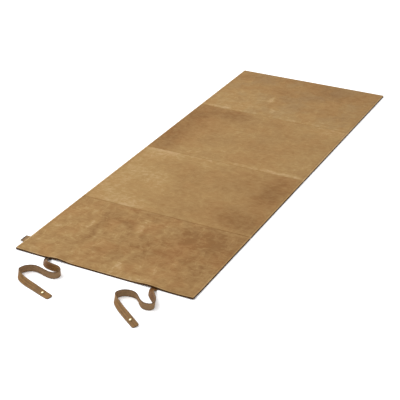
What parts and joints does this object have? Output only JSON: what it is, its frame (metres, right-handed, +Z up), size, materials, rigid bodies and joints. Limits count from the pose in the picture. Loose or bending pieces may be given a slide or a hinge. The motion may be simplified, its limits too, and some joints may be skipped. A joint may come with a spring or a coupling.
{
  "type": "gymnastics mat",
  "caption": "Thin rectangular leather gymnastics mat in sewn panels on a dark base, laid flat, with fastening straps and brass studs at one end.",
  "frame": {"origin": "middle of the mat's underside, on the floor", "axes": "+Z up from the floor, +Y along the mat away from the end with the straps, +X to the right across the mat when looking along +Y"},
  "size_m": [0.719, 2.0706, 0.0251],
  "materials": {
    "tan_leather": "dry nubuck nap with tone shifts and creases",
    "dark_underlay": "matt dark brown",
    "turned_leather": "matt tan",
    "strap_leather": "oiled golden tan grain, greyer on the back",
    "brass": "polished",
    "thread": "waxed sewing thread"
  },
  "bodies": {
    "panel_3": {"top_leather_3": "tan_leather", "base_3": "dark_underlay", "seam_strip_2": "turned_leather", "seam_strip_3": "turned_leather", "sewing_thread_3_left": "thread", "sewing_thread_3_right": "thread"},
    "panel_2": {"top_leather_2": "tan_leather", "base_2": "dark_underlay", "seam_strip_1": "turned_leather", "sewing_thread_2_left": "thread", "sewing_thread_2_right": "thread"},
    "panel_1": {"top_leather_1": "tan_leather", "base_1": "dark_underlay", "strap_tail_left": "strap_leather", "strap_tail_right": "strap_leather", "snap_socket_left": "brass", "snap_socket_right": "brass", "label_tab": "turned_leather", "sewing_thread_1": "thread"},
    "panel_4": {"top_leather_4": "tan_leather", "base_4": "dark_underlay", "sewing_thread_4": "thread"},
    "strap_left": {"strap_left": "strap_leather", "snap_stud_left": "brass", "snap_washer_left": "brass"},
    "strap_right": {"strap_right": "strap_leather", "snap_stud_right": "brass", "snap_washer_right": "brass"}
  },
  "joints": [
    {"name": "fold_1", "type": "hinge", "parent": "panel_2", "child": "panel_1", "pos_m": [0, -0.4932, 0.006], "axis": [-1, 0, 0], "range_deg": [0, 175], "deforming": ["seam_strip_1"]},
    {"name": "fold_2", "type": "hinge", "parent": "panel_3", "child": "panel_2", "pos_m": [0, -0.011, 0], "axis": [1, 0, 0], "range_deg": [0, 175], "deforming": ["seam_strip_2"]},
    {"name": "fold_3", "type": "hinge", "parent": "panel_3", "child": "panel_4", "pos_m": [0, 0.4736, 0.006], "axis": [1, 0, 0], "range_deg": [0, 175], "deforming": ["seam_strip_3"]},
    {"name": "strap_left_swing", "type": "hinge", "parent": "panel_1", "child": "strap_left", "pos_m": [-0.2105, -0.9285, 0.0013], "axis": [1, 0, 0], "range_deg": [-30, 100]},
    {"name": "strap_right_swing", "type": "hinge", "parent": "panel_1", "child": "strap_right", "pos_m": [0.2055, -0.9285, 0.0013], "axis": [1, 0, 0], "range_deg": [-70, 100]}
  ]
}
